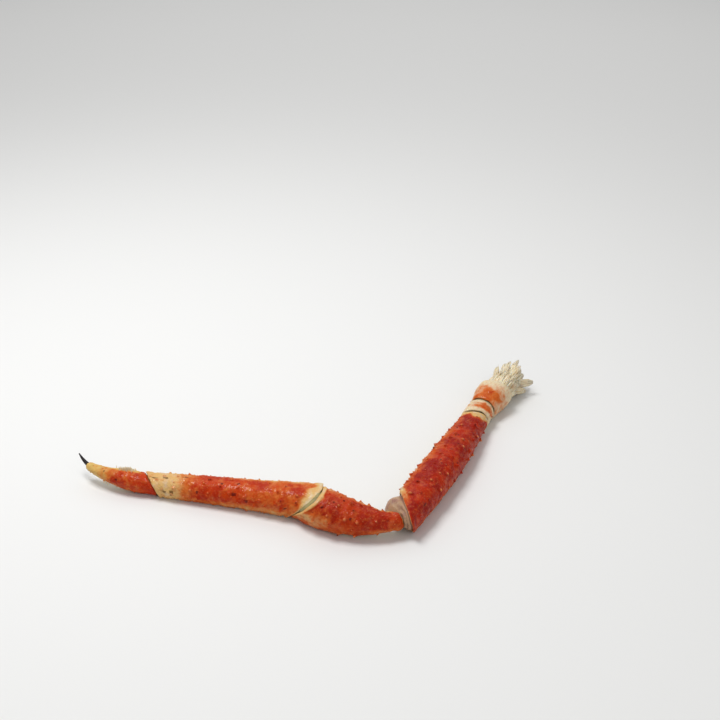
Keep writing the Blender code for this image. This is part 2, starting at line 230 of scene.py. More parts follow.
def filled_mesh(name, cloud, quads, triangles, marks):
    """A smooth mesh from arrays of points and of four- and three-sided faces, which keeps the marks:
    a number, or a vector, for each point."""
    mesh = bpy.data.meshes.new(name)
    mesh.vertices.add(len(cloud))
    mesh.vertices.foreach_set("co", cloud.astype(np.float32).ravel())
    corners = np.concatenate([quads.ravel(), triangles.ravel()]).astype(np.int32)
    mesh.loops.add(len(corners))
    mesh.loops.foreach_set("vertex_index", corners)
    sides = np.repeat([4, 3], [len(quads), len(triangles)])
    mesh.polygons.add(len(sides))
    mesh.polygons.foreach_set("loop_start", (np.cumsum(sides) - sides).astype(np.int32))
    mesh.update(calc_edges=True)
    for key, value in marks.items():
        kind, field = ("FLOAT", "value") if value.ndim == 1 else ("FLOAT_VECTOR", "vector")
        mark = mesh.attributes.new(key, kind, "POINT")
        mark.data.foreach_set(field, value.astype(np.float32).ravel())
    mesh.shade_smooth()
    return mesh


def tube_faces(count, sides, loop):
    """Quads of a tube of count rings, and the fans that close its two ends on one more point each,
    which follow the rings' points. A loop's last ring joins its first one instead."""
    index = np.arange(count * sides).reshape(count, sides)
    if loop:
        index = np.vstack([index, index[:1]])
    after = np.roll(index, -1, axis=1)
    quads = np.stack([index[:-1], index[1:], after[1:], after[:-1]], axis=-1).reshape(-1, 4)
    if loop:
        return quads, np.zeros((0, 3), int)
    near, far = index[0] * 0 + count * sides, index[0] * 0 + count * sides + 1
    fans = (near, index[0], after[0]), (far, after[-1], index[-1])
    return quads, np.concatenate([np.stack(fan, axis=-1) for fan in fans])


def tube_mesh(name, *tubes, loop=False):
    """One mesh from tubes, each a grid of points [along, round] with its marks, joined all the way
    round and closed at both ends, or as a loop."""
    columns, quads, fans, start = {}, [], [], 0
    for points, marks in tubes:
        count, sides = points.shape[:2]
        faces, ends = tube_faces(count, sides, loop)
        quads.append(faces + start)
        fans.append(ends + start)
        for key, value in {"co": points, **marks}.items():
            value = np.asarray(value, float)
            grid = np.broadcast_to(value, (count, sides) + value.shape[2:])
            caps = [] if loop else [grid[:1].mean(axis=1), grid[-1:].mean(axis=1)]
            columns.setdefault(key, []).extend([grid.reshape(count * sides, *grid.shape[2:]), *caps])
        start += count * sides + (0 if loop else 2)
    columns = {key: np.concatenate(rows) for key, rows in columns.items()}
    return filled_mesh(name, columns.pop("co"), np.vstack(quads), np.vstack(fans), columns)


def outwards(points):
    """The directions out of a tube of points [along, round] and ahead along it, as unit vectors:
    out is the cross product of the steps along and round."""
    along = np.gradient(points, axis=0)
    round_it = np.roll(points, -1, axis=1) - np.roll(points, 1, axis=1)
    return unit(np.cross(along, round_it)), unit(along)


def dashes(part, distance, angles, places):
    """Small marks on a limb, 1 in the middle of each and 0 outside it, with uneven edges. A place is
    (share, degrees, length, width), the last two in millimetres along and round the limb."""
    field = 0
    for share, degrees, length, width in places:
        half = smooth_through(part.widths, share) / 2
        along = (distance - share * part.length) / (length * MM / 2)
        across = turned_from(angles, radians(degrees)) * half / (width * MM / 2)
        ragged = 1 + ripples((0.35, distance / (0.3 * MM) + 40 * share), (0.35, 43 * angles + 50 * share))
        field = np.maximum(field, np.clip(1.4 - (along**2 + across**2) * ragged, 0, 1))
    return field


def studs(part, shares, points, places, spread, sharpness, seed=0):
    """Cone-shaped studs on a grid: the lift, height * nearness ** sharpness on a low mound; the
    nearness to a tip; a ring round the foot, which the colouring darkens as painted shade; and each
    stud's random shade of colour. A place is (share, angle, height), and its foot has a radius of
    spread * height."""
    lift, tip, foot, shade = (np.zeros(points.shape[:2]) for _ in range(4))
    places = np.array(places, float).reshape(-1, 3)
    tones = np.random.RandomState(seed).uniform(size=len(places))
    roots = skin(part, places[:, 0], places[:, 1])
    for (share, _, height), tone, root in zip(places, tones, roots):
        radius = spread * height
        rows = np.flatnonzero(np.abs(shares - share) * part.length < 2.2 * radius)
        apart = np.linalg.norm(points[rows] - root, axis=-1) / radius
        near = np.clip(1 - apart, 0, 1)
        shade[rows] = np.where(near > tip[rows], tone, shade[rows])
        rise = 0.85 * near**sharpness + 0.15 * np.exp(-((apart / 0.9) ** 2))
        lift[rows] = np.maximum(lift[rows], height * rise)
        tip[rows] = np.maximum(tip[rows], near)
        foot[rows] = np.maximum(foot[rows], np.exp(-(((apart - 0.75) / 0.45) ** 2)))
    return lift, tip, foot, shade


# The path that a shell's edge takes from its inner wall round the lip to its outer face: the
# distance from the end in millimetres, and the depth below the outer face as a share of the wall.
LIP_PATH = ((3.4, 1.0), (1.6, 1.0), (0.6, 0.93), (0.15, 0.75), (0.0, 0.5), (0.08, 0.24), (0.35, 0.06))
# The raised rim at a shell's end and the groove behind it: the distance from the end, the width
# and the height, in millimetres.
RIM_AND_GROOVE = ((1.2, 1.1, 0.35), (3.9, 1.0, -0.22))
EDGE_WAVE = 0.3 * MM
# Spines, teeth and grains: the radius of the foot as a share of the height, and the sharpness.
SPINE_SHAPE = (0.85, 1.35)
TOOTH_SHAPE = (0.9, 1.1)
GRAIN_SHAPE = (4.2, 0.8)
GRAIN_HEIGHTS = (0.08 * MM, 0.2 * MM)
SPINE_LEAN = 0.55


def shell_grid(
    part, cell, sides, seed, wall, spines=(), teeth=(), grains=0, rough=0.1 * MM,
    rims=(1, 1), reach=(0, 0), spots=(),
):
    """A shell from the inside of its near lip over its outer face to the inside of its far lip, with
    leaning spines, small teeth, scattered grains and a soft unevenness. Each end has a raised rim, a
    groove behind it, a wavy edge, and a reach in metres over the skin beside it. Returns the points,
    the marks, the distances from both ends and the angles."""
    lip = np.array(LIP_PATH)[:, :, None]
    body = np.arange(0.8 * MM, part.length - 0.8 * MM, cell)[:, None]
    near = np.concatenate([lip[:, 0] * MM, body, part.length - lip[::-1, 0] * MM])
    grow = np.concatenate([-lip[:, 1] * wall, 0 * body, -lip[::-1, 1] * wall])
    outer = np.concatenate([0 * lip[:, 0], 1 + 0 * body, 0 * lip[:, 0]])
    far, shares, angles = part.length - near, near / part.length, round_angles(sides)[None, :]
    for apart, rim in zip((near, far), rims):
        for place, width, height in RIM_AND_GROOVE:
            grow = grow + rim * height * MM * np.exp(-(((apart / MM - place) / width) ** 2))
    wave = EDGE_WAVE * (
        fade(near, 0, 6 * MM) * ripples((0.6, 3 * angles + seed), (0.4, 7 * angles))
        + fade(far, 0, 6 * MM) * ripples((0.6, 2 * angles - seed), (0.4, 8 * angles))
    )
    wave = wave + reach[1] * fade(far, 0, 5 * MM) - reach[0] * fade(near, 0, 5 * MM)
    points = skin(part, shares, angles, grow=grow, along=wave)
    out, ahead = outwards(points)
    ends = fade(np.minimum(near, far), 2.2 * MM, 0.6 * MM) * outer
    lift, tip, foot, shade = studs(part, shares, points, spines, *SPINE_SHAPE, seed)
    tooth, tooth_tip, tooth_foot, tooth_shade = studs(part, shares, points, teeth, *TOOTH_SHAPE, seed)
    low, high = GRAIN_HEIGHTS
    dice = np.random.RandomState(seed)
    scattered = dice.uniform((0.01, 0, low), (0.99, 2 * pi, high), (grains, 3))
    grain, grain_tip, _, _ = studs(part, shares, points, scattered, *GRAIN_SHAPE)
    soft = uneven(near, angles, seed, 5 * MM) + 0.3 * uneven(near, angles, seed + 1, 1.4 * MM, 60, 26)
    points = points + out * ((np.maximum(grain, tooth) + rough * soft) * ends)[..., None]
    points = points + unit(out + SPINE_LEAN * ahead) * (lift * ends)[..., None]
    half = smooth_through(part.widths, shares) / 2
    marks = {
        "tip": np.maximum(tip, 0.8 * tooth_tip) * ends,
        "shade": np.where(tooth_tip > tip, tooth_shade, shade),
        # The foot rings round spines and teeth carry painted shade into the colouring.
        "foot": np.maximum(foot, 0.5 * tooth_foot) * ends,
        "grain": grain_tip * ends,
        "spot": dashes(part, near, angles, spots) * outer,
        "flow": np.stack([near + 0 * angles, half * np.cos(angles), half * np.sin(angles)], axis=-1),
    }
    return lie_on_surface(points), marks, near, far, angles


def tooth_places(part, spacing, rows, tall, seed):
    """(share, angle, height) of small teeth that stand close together along the keels."""
    dice = np.random.RandomState(seed)
    count = int(part.length / spacing)
    share = (np.arange(count)[None, :] + dice.uniform(0.2, 0.8, (len(rows), count))) / count
    angle = np.radians(np.array(rows)[:, None] + dice.uniform(-5, 5, share.shape))
    height = tall * dice.uniform(0.45, 1.1, share.shape)
    return np.stack([share, angle, height], axis=-1).reshape(-1, 3)


def screen(red, green, blue):
    """A colour as it shows on a screen, 0 to 255, turned into the linear values of a shader."""
    return tuple((value / 255) ** 2.2 for value in (red, green, blue)) + (1,)


def feed(tree, socket, value):
    """Links a socket to another one, or sets its value."""
    if isinstance(value, bpy.types.NodeSocket):
        tree.links.new(value, socket)
    else:
        socket.default_value = value


def blend(tree, factor, first, second):
    """A colour between two colours, by a factor from 0 to 1."""
    mix = tree.nodes.new("ShaderNodeMix")
    mix.data_type = "RGBA"
    for slot, value in ((0, factor), (6, first), (7, second)):
        feed(tree, mix.inputs[slot], value)
    return mix.outputs[2]


def maths(tree, way, *values):
    """Arithmetic on two or three values."""
    node = tree.nodes.new("ShaderNodeMath")
    node.operation = way
    for slot, value in enumerate(values):
        feed(tree, node.inputs[slot], value)
    return node.outputs[0]


def between(tree, value, low, high, start=0.0, end=1.0):
    """A value carried smoothly from the range low to high onto the range start to end."""
    node = tree.nodes.new("ShaderNodeMapRange")
    node.interpolation_type = "SMOOTHSTEP"
    for slot, amount in enumerate((value, low, high, start, end)):
        feed(tree, node.inputs[slot], amount)
    return node.outputs[0]


def laid_over(tree, colour, *layers):
    """A colour with others laid over it in turn. A layer is (value, low, high, most, colour), and it
    covers from nothing to the share most as its value goes from low to high."""
    for value, low, high, most, over in layers:
        colour = blend(tree, between(tree, value, low, high, 0.0, most), colour, over)
    return colour


def cloudy(tree, vector, scale, detail=3.0, distortion=0.0):
    """Soft noise, with a number of blotches a metre."""
    node = tree.nodes.new("ShaderNodeTexNoise")
    node.inputs["Scale"].default_value = scale
    node.inputs["Detail"].default_value = detail
    node.inputs["Distortion"].default_value = distortion
    tree.links.new(vector, node.inputs["Vector"])
    return node.outputs["Fac"]


def drawn_out(tree, vector, share):
    """A vector whose first part is cut to a share, which draws a pattern out in that direction."""
    node = tree.nodes.new("ShaderNodeMapping")
    node.inputs["Scale"].default_value = (share, 1.0, 1.0)
    feed(tree, node.inputs["Vector"], vector)
    return node.outputs["Vector"]


def new_group(name, inputs, outputs):
    """A shader node group whose inputs and outputs are names listed by kind, and the sockets at its
    two ends."""
    tree = bpy.data.node_groups.new(name, "ShaderNodeTree")
    for way, kinds in (("INPUT", inputs), ("OUTPUT", outputs)):
        for kind, labels in kinds.items():
            for label in labels:
                tree.interface.new_socket(name=label, in_out=way, socket_type="NodeSocket" + kind)
    return tree, tree.nodes.new("NodeGroupInput").outputs, tree.nodes.new("NodeGroupOutput").inputs


def object_place(tree):
    """A point's place in its object's own space, in metres."""
    return tree.nodes.new("ShaderNodeTexCoord").outputs["Object"]


# The colouring that cooking gives every shell: red pigment in clouds over a cream ground, paler at
# the joints and on the belly side, with fine dull pores. Some spines are pale, some are the shell's
# own colour and some are nearly black. The darker ring round each spine's foot is painted shade,
# and the pale specks are partly painted glints.
SHELL_MARKS = ("Pale", "Tip", "Shade", "Foot", "Grain", "Spot")
SHELL_COLOURS = ("Red", "Deep", "Orange", "Cream", "Belly", "Tip Color", "Spot Color")
BELLY_BLOTS = screen(206, 168, 150)
SPOT_ON_CREAM = screen(98, 64, 20)
shell_colouring, given, result = new_group(
    "shell colouring",
    {"Float": SHELL_MARKS, "Vector": ["Flow"], "Color": SHELL_COLOURS},
    {"Color": ["Color"], "Float": ["Roughness", "Wet", "Height"]},
)
tree = shell_colouring
place = object_place(tree)
patches = cloudy(tree, place, 110, 4, 0.6)
clouds = cloudy(tree, place, 330, 4, 0.4)
specks = cloudy(tree, place, 1100, 2)
pores = cloudy(tree, place, 2600, 2)
streaks = cloudy(tree, drawn_out(tree, given["Flow"], 0.16), 800, 3, 0.4)
pigment = laid_over(
    tree, given["Deep"],
    (patches, 0.38, 0.62, 1, given["Red"]),
    (clouds, 0.54, 0.72, 0.4, given["Orange"]),
    (streaks, 0.54, 0.74, 0.35, given["Orange"]),
    (pores, 0.56, 0.7, 0.35, given["Deep"]),
    # Partly painted glints: pale specks of the spine colour, over the shell's own pale flecks.
    (specks, 0.58, 0.7, 0.24, given["Tip Color"]),
)
# The grains' tips are paled, partly their own colour and partly painted glints.
pigment = blend(tree, maths(tree, "MULTIPLY", given["Grain"], 0.12), pigment, given["Tip Color"])
wavering = maths(tree, "MULTIPLY_ADD", maths(tree, "ADD", patches, clouds), 0.9, -0.9)
pale = maths(tree, "ADD", given["Pale"], wavering)
belly = laid_over(tree, given["Belly"], (patches, 0.5, 0.66, 0.3, BELLY_BLOTS))
ground = laid_over(
    tree, given["Cream"],
    (clouds, 0.5, 0.7, 0.4, given["Orange"]),
    (streaks, 0.55, 0.7, 0.3, given["Orange"]),
    (pale, 0.95, 1.4, 1.0, belly),
)
colour = laid_over(tree, pigment, (pale, 0.02, 0.52, 1, given["Orange"]), (pale, 0.4, 0.94, 1.0, ground))
# Painted shade: the ring round each spine's foot is darkened towards the deep red.
colour = blend(tree, maths(tree, "MULTIPLY", given["Foot"], 0.3), colour, given["Deep"])
stud_colour = laid_over(
    tree, given["Red"],
    (given["Shade"], 0.3, 0.75, 1, given["Tip Color"]),
    (given["Shade"], 0.22, 0.12, 1, given["Spot Color"]),
)
spot_colour = laid_over(tree, given["Spot Color"], (pale, 0.4, 0.8, 1.0, SPOT_ON_CREAM))
colour = laid_over(
    tree, colour,
    (given["Tip"], 0.3, 0.85, 0.85, stud_colour),
    (given["Spot"], 0.1, 0.9, 0.8, spot_colour),
)
feed(tree, result["Color"], colour)
feed(tree, result["Roughness"], between(tree, specks, 0.35, 0.65, 0.36, 0.58))
feed(tree, result["Wet"], between(tree, clouds, 0.42, 0.62, 0.02, 0.26))
fine_relief = maths(tree, "MULTIPLY_ADD", pores, 0.5, specks)
feed(tree, result["Height"], maths(tree, "MULTIPLY_ADD", clouds, 0.8, fine_relief))


def new_material(name, **settings):
    """A material with one Principled shader, whose named sockets take the given plain values."""
    material = bpy.data.materials.new(name)
    material.use_nodes = True
    shader = material.node_tree.nodes["Principled BSDF"]
    for label, value in settings.items():
        shader.inputs[label.replace("_", " ")].default_value = value
    return material, material.node_tree, shader


def mark_value(tree, name, output="Fac"):
    """The number, or with Vector the vector, that a mesh keeps for each point under this name."""
    node = tree.nodes.new("ShaderNodeAttribute")
    node.attribute_name = name
    return node.outputs[output]


def bump(tree, shader, height, depth):
    """Feeds a height into the shader's normal, over a depth in metres."""
    node = tree.nodes.new("ShaderNodeBump")
    node.inputs["Distance"].default_value = depth
    feed(tree, node.inputs["Height"], height)
    feed(tree, shader.inputs["Normal"], node.outputs["Normal"])


def coloured_material(name, group_tree, marks, values, **settings):
    """A material with a shared colouring, which takes the mesh's marks and the material's own values
    by their names, and feeds the shader's colour."""
    material, tree, shader = new_material(name, **settings)
    group = tree.nodes.new("ShaderNodeGroup")
    group.node_tree = group_tree
    for label in marks:
        feed(tree, group.inputs[label], mark_value(tree, label.lower()))
    for label, value in values.items():
        group.inputs[label].default_value = value
    feed(tree, shader.inputs["Base Color"], group.outputs["Color"])
    return material, tree, shader, group


RED = screen(190, 60, 8)
DEEP_RED = screen(172, 44, 6)
LIGHT_ORANGE = screen(204, 104, 42)
CREAM = screen(216, 173, 110)
IVORY = screen(222, 204, 168)
SPINE_PALE = screen(224, 138, 84)
SPOT_RED = screen(90, 16, 6)
RELIEF = 0.3 * MM


def shell_material(name, red=RED, deep=DEEP_RED, orange=LIGHT_ORANGE, cream=CREAM):
    """Wet cooked shell in the given colours, through the shared colouring."""
    colours = (red, deep, orange, cream, IVORY, SPINE_PALE, SPOT_RED)
    material, tree, shader, group = coloured_material(
        name, shell_colouring, SHELL_MARKS, dict(zip(SHELL_COLOURS, colours)),
        Subsurface_Weight=0.06, Subsurface_Radius=(1.0, 0.3, 0.1), Subsurface_Scale=0.001,
        Coat_Roughness=0.08, Specular_IOR_Level=0.1,
    )
    feed(tree, group.inputs["Flow"], mark_value(tree, "flow", "Vector"))
    feed(tree, shader.inputs["Roughness"], group.outputs["Roughness"])
    feed(tree, shader.inputs["Coat Weight"], group.outputs["Wet"])
    bump(tree, shader, group.outputs["Height"], RELIEF)
    return material


def new_piece(mesh, material, node):
    """Makes an object at the origin, with its place in its mesh, that stands for a CAD node."""
    piece = bpy.data.objects.new(mesh.name, mesh)
    mesh.materials.append(material)
    bpy.context.scene.collection.objects.link(piece)
    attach(piece, "root")
    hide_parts(node)


coxa = limb(
    SHOULDER, 237, 5, 1, COXA_LENGTH,
    ((0, 19.5), (0.45, 18.6), (0.8, 16.4), (1, 15.4)),
    near=(0.2, 0.2, 0), far=(-0.1, -0.1, 0),
)
points, marks, near, far, angles = shell_grid(
    coxa, 0.3 * MM, 200, 21, COXA_WALL, teeth=tooth_places(coxa, 4 * MM, (40, 100, 150, 210), 0.7 * MM, 22),
    grains=160, rims=(0.1, 0.5), reach=(0, 0.5 * MM),
)
flush = 0.4 * bell(angles, 110, 60) * fade(near, 12 * MM, 4 * MM)
marks["pale"] = 0.8 + 0.2 * fade(near, 0, 9 * MM) - flush
ivory_shell = shell_material("ivory shell", cream=IVORY)
new_piece(tube_mesh("coxa_shell", (points, marks), loop=True), ivory_shell, "coxa")

# Shoulder meat: the bundle of muscle that was pulled out of the body with the leg. It runs through
# the coxa and stands out of it as a torn plume of white flakes and loose fibres.
FACE_GAP = 0.3 * MM
MEAT_REACH = 24 * MM
MEAT_SWELL = ((0, 0.8), (0.22, 1.02), (0.5, 1.08), (0.75, 0.9), (0.93, 0.55), (1, 0.3))
MEAT_LUMPS = ((3, 4, 0.08), (7, -9, 0.06))
FLAKE_COUNT = 24
# The least and the most length, width, thickness and droop of a flake, in millimetres.
FLAKE_SIZES = ((9, 14), (4, 6.5), (1.8, 2.8), (-2, 2))
FLAKE_FAN = (0.15, 0.65)
FLAKE_TWIST = 0.5
FLAKE_ROOTS = 0.68
FLAKE_TAPER = 0.3
FLAKE_CLEARANCE = 0.4 * MM
STRAND_WIDTHS = 60 * [(0.7, 1.5)] + 40 * [(0.15, 0.3)]
RIDGES = 0.1
MEAT_SEED = 11
GOLDEN_SHARE = 0.618
UP = np.array([0.0, 0, 1])


def torn_end():
    """The middle of the coxa's open end, the directions ahead and inwards there, and the radius that
    its wall leaves for the meat."""
    centre = np.array([*coxa.start, axis_height(coxa, 0.0)])
    return centre, *directions(coxa.heading), coxa.widths[0][1] / 2 - COXA_WALL - FACE_GAP


def on_plume(turn, share, depth):
    """The direction out of the plume at a turn round it, and the point there, at a share of its reach
    and at a depth share of its radius."""
    centre, ahead, inward, half = torn_end()
    radial = inward * cos(turn) + UP * sin(turn)
    size = half * smooth_through(MEAT_SWELL, share) * depth
    return radial, centre - ahead * MEAT_REACH * share + radial * size


def meat_core(rings, sides):
    """The plume's middle: rings inside the coxa, then rings that swell and shrink towards the torn
    end with lumps that twist along it, split by grooves between bundles and by fine ridges."""
    angles = round_angles(sides)[None, :]
    inside = np.linspace(0.97, 0.03, 12)[:, None]
    held = skin(coxa, inside, angles, grow=-COXA_WALL - FACE_GAP)
    share = np.linspace(0, 1, rings)[:, None]
    centre, ahead, inward, half = torn_end()
    size = smooth_through(MEAT_SWELL, share) * half
    for waves, twist, depth in MEAT_LUMPS:
        size = size * (1 + depth * share * np.sin(waves * angles + twist * share))
    wander = 0.5 * np.sin(5 * share + 2 * angles) + 0.4 * share
    size = size - 1.2 * MM * share**0.5 * np.abs(np.cos(5.5 * (angles + 0.35 * wander))) ** 14
    size = size - 0.35 * MM * np.abs(np.sin(23 * angles + 6 * wander + 9 * share)) ** 4
    size = size + 0.12 * MM * np.sin(71 * angles + 30 * share)
    reach = MEAT_REACH * share * (1 + 0.07 * np.sin(3 * angles + 1) + 0.05 * np.sin(11 * angles) * share)
    x, z = np.cos(angles) * size * PLAN_SHARE, np.sin(angles) * size * THICK_SHARE
    torn = centre - ahead * reach[..., None] + inward * x[..., None] + UP * z[..., None]
    run = np.concatenate([inside * -coxa.length, share * MEAT_REACH]) + 0 * angles
    fibre = np.stack([run, np.cos(angles) * half + 0 * run, np.sin(angles) * half + 0 * run], axis=-1)
    return lie_on_surface(np.concatenate([held, torn])), {"fibre": fibre}


def strand(root, pointing, wide, length, width, thickness, droop, rings, sides, ridge, seed):
    """A torn flake or fibre: flattened rings along a line that bends by droop, narrowing to a frayed
    end, with ridges along it. Its fibre marks are places in its own directions."""
    flat = np.cross(pointing, wide)
    share = np.linspace(0, 1, rings)[:, None]
    angles = round_angles(sides)[None, :]
    taper = 1 - FLAKE_TAPER * share**1.5
    taper = taper * np.where(share > 0.8, np.sqrt(np.clip(1 - ((share - 0.8) / 0.202) ** 2, 0.02, 1)), 1)
    ridges = 1 + ripples((ridge, 9 * angles + seed + 5 * share), (0.6 * ridge, 17 * angles + 3 * seed))
    x = np.cos(angles) * width / 2 * taper * ridges
    z = np.sin(angles) * thickness / 2 * taper * ridges
    frayed = ripples((0.1, 3 * angles + seed), (0.08, 7 * angles + 2 * seed), (0.06, 13 * angles))
    frayed = length * frayed * share**4
    middle = root + pointing * (length * share) - flat * (droop * share**2)
    points = middle[:, None, :] + pointing * frayed[..., None] + wide * x[..., None] + flat * z[..., None]
    run = length * share + 0 * angles + 0.05 * seed
    return points, {"fibre": np.stack([run, x + 0 * run, z + 0 * run], axis=-1)}


def square_to(vector, axis):
    """The part of a vector that is square to an axis, as a unit vector."""
    return unit(vector - axis * np.dot(vector, axis))


def meat_strands():
    """The loose parts of the plume: flakes that stand out of it in a spiral, thin strands round its
    torn end, and hair-fine fibres, each as its points and fibre places."""
    ahead, _ = directions(coxa.heading)
    dice = random.Random(MEAT_SEED)
    made = []
    for number in range(FLAKE_COUNT):
        turn = 2 * pi * (number * GOLDEN_SHARE % 1)
        radial, root = on_plume(turn, 0.3 + 0.6 * number / FLAKE_COUNT, FLAKE_ROOTS)
        pointing = unit(-ahead + dice.uniform(*FLAKE_FAN) * radial)
        twisted = np.cross(radial, pointing) + dice.uniform(-FLAKE_TWIST, FLAKE_TWIST) * radial
        sizes = [dice.uniform(*span) * MM for span in FLAKE_SIZES]
        made.append(strand(root, pointing, square_to(twisted, pointing), *sizes, 26, 66, RIDGES, number))
    for number, widths in enumerate(STRAND_WIDTHS):
        turn = 2 * pi * dice.random()
        radial, root = on_plume(turn, dice.uniform(0.15, 0.95), dice.uniform(0.8, 0.98))
        pointing = unit(-ahead + dice.uniform(0.05, 0.45) * radial + 0.25 * dice.uniform(-1, 1) * UP)
        wide = square_to(np.cross(radial, pointing), pointing)
        length, width, bend = (dice.uniform(*span) * MM for span in ((3, 7), widths, (-1.5, 1.5)))
        made.append(strand(root, pointing, wide, length, width, 0.6 * width, bend, 12, 8, RIDGES, number))
    return made


def kept_clear(points, low, high):
    """The grid lifted, as a whole, clear of the surface, and kept inside a box."""
    points = points + np.array([0, 0, max(0, low[2] + FLAKE_CLEARANCE - points[..., 2].min())])
    return np.clip(points, low, high)


low, high = (np.array(corner) for corner in cad_box)
tubes = [meat_core(90, 200)]
tubes += [(kept_clear(points, low, high), marks) for points, marks in meat_strands()]
meat_material, tree, shader = new_material(
    "crab meat", Subsurface_Weight=0.35, Subsurface_Radius=(1.0, 0.7, 0.4), Subsurface_Scale=0.002,
    Coat_Weight=0.25, Coat_Roughness=0.2,
)
fibre = drawn_out(tree, mark_value(tree, "fibre", "Vector"), 0.12)
threads = cloudy(tree, fibre, 1500, 3, 0.3)
tufts = cloudy(tree, fibre, 420, 3, 0.5)
blush = cloudy(tree, object_place(tree), 90, 3)
colour = laid_over(
    tree, screen(204, 180, 138),
    (threads, 0.35, 0.65, 1.0, screen(236, 224, 196)),
    (blush, 0.55, 0.7, 0.35, screen(226, 168, 122)),
)
feed(tree, shader.inputs["Base Color"], colour)
feed(tree, shader.inputs["Roughness"], between(tree, threads, 0.3, 0.7, 0.42, 0.6))
bump(tree, shader, maths(tree, "MULTIPLY_ADD", tufts, 1.5, threads), 0.4 * MM)
new_piece(tube_mesh("meat_plume", *tubes), meat_material, "shoulder_meat")

# Hip membrane: the soft skin folded into the narrow joint between the coxa and the ischium. It has
# gone greenish brown in the crease, as such skin does when it is boiled, and painted shade darkens
# it in its fold troughs and under the shells' lips.
SOFT_INSET = 1.45 * MM
TUCK = 2.6 * MM
HIP_DEPTH = 2.2 * MM


def joint_skin(first, last, rings, sides, folds, fold_height, bulge=0.2 * MM, inner_bulge=0.0, seed=0):
    """Skin from inside one limb's far lip to inside the next one's near lip: straight between the
    two rings, swelling with a half sine, more on the inner side, and folded across with sine waves
    that wander round it."""
    angles = round_angles(sides)[None, :]
    tucked = skin(first, 1 - TUCK / first.length, angles, grow=-SOFT_INSET)
    start = skin(first, 1.0, angles, grow=-SOFT_INSET, along=FACE_GAP)
    end = skin(last, 0.0, angles, grow=-SOFT_INSET, along=-FACE_GAP)
    hidden = skin(last, TUCK / last.length, angles, grow=-SOFT_INSET)
    t = np.linspace(0, 1, rings)[:, None]
    straight = start + (end - start) * t[..., None]
    out, _ = outwards(np.concatenate([tucked, straight, hidden]))
    wander = ripples((0.9, 2 * angles + seed), (0.6, 5 * angles - seed))
    fold = np.sin(2 * pi * folds * t + wander)
    swell = np.sin(pi * t) * (bulge + inner_bulge * np.maximum(np.cos(angles), 0))
    fine = ripples((0.3, 37 * angles + 4 * fold + 5 * wander), (0.2, 61 * angles - 3 * fold + 9 * wander))
    fine = fine * np.sin(pi * t)
    edge = np.exp(-((t / 0.08) ** 2)) + np.exp(-(((1 - t) / 0.08) ** 2))
    lift = swell + fold_height * (fold + fine) * np.sin(pi * t) ** 0.6
    points = np.concatenate([tucked, straight + out[1:-1] * lift[..., None], hidden])
    # The fold and rim marks carry painted shade: in the fold troughs and where the lips hold the skin.
    marks = {
        name: np.concatenate([cap + 0 * angles, field + 0 * angles, cap + 0 * angles])
        for name, cap, field in (
            ("fold", 0, 0.5 - 0.5 * fold), ("middle", 0, np.sin(pi * t)), ("rim", 1, edge),
        )
    }
    return lie_on_surface(points), marks


# The colouring of joint skin: its own blots and a darker middle, pale on the fold ridges and dark in
# their troughs, which is painted shade, and painted shade too where the shells' lips hold it.
SKIN_MARKS = ("Fold", "Middle", "Rim")
SKIN_COLOURS = ("Light", "Crease", "Tint")
SKIN_SHARES = ("Darkness", "Fold Shade", "Rim Shade")
skin_colouring, given, result = new_group(
    "joint skin colouring",
    {"Float": SKIN_MARKS + SKIN_SHARES, "Color": SKIN_COLOURS},
    {"Color": ["Color"], "Float": ["Height"]},
)
tree = skin_colouring
place = object_place(tree)
blots = cloudy(tree, place, 260, 4, 0.8)
wrinkles = cloudy(tree, place, 1500, 3, 1.0)
tone_and_fold_shade = maths(tree, "MULTIPLY", given["Middle"], given["Darkness"])
# Painted shade in the troughs of the folds.
tone_and_fold_shade = maths(tree, "MULTIPLY_ADD", given["Fold"], given["Fold Shade"], tone_and_fold_shade)
tone_and_fold_shade = maths(tree, "MULTIPLY_ADD", blots, 0.6, tone_and_fold_shade)
colour = laid_over(
    tree, given["Light"],
    (blots, 0.5, 0.72, 1, given["Tint"]),
    (tone_and_fold_shade, 0.45, 1.15, 1, given["Crease"]),
)
# Painted shade at the rims, where the shells' lips cover the skin.
rim = maths(tree, "MULTIPLY", given["Rim"], given["Rim Shade"])
feed(tree, result["Color"], blend(tree, rim, colour, given["Crease"]))
feed(tree, result["Height"], wrinkles)


def skin_material(name, *values):
    """Damp joint skin with its own three colours and three shares, through the shared colouring."""
    material, tree, shader, group = coloured_material(
        name, skin_colouring, SKIN_MARKS, dict(zip(SKIN_COLOURS + SKIN_SHARES, values)),
        Roughness=0.42, Specular_IOR_Level=0.2, Subsurface_Weight=0.2,
        Subsurface_Radius=(1.0, 0.6, 0.4), Subsurface_Scale=0.001, Coat_Weight=0.15, Coat_Roughness=0.15,
    )
    bump(tree, shader, group.outputs["Height"], RELIEF)
    return material


# The last two shares paint shade in the fold troughs and where the lips hold the skin.
body_skin = skin_material(
    "body skin", screen(202, 182, 138), screen(112, 94, 62), screen(160, 136, 92), 0.3, 0.45, 0.7
)
ischium = limb(
    limb_end(coxa, HIP_DEPTH), 243, 4, 1, 13 * MM,
    ((0, 14.2), (0.5, 15.2), (1, 15.0)),
    near=(-0.1, -0.1, 0), far=(0.25, 0.25, 0),
)
membrane = joint_skin(coxa, ischium, 24, 200, 1.6, 0.22 * MM, seed=1)
new_piece(tube_mesh("hip_skin", membrane), body_skin, "hip_membrane")

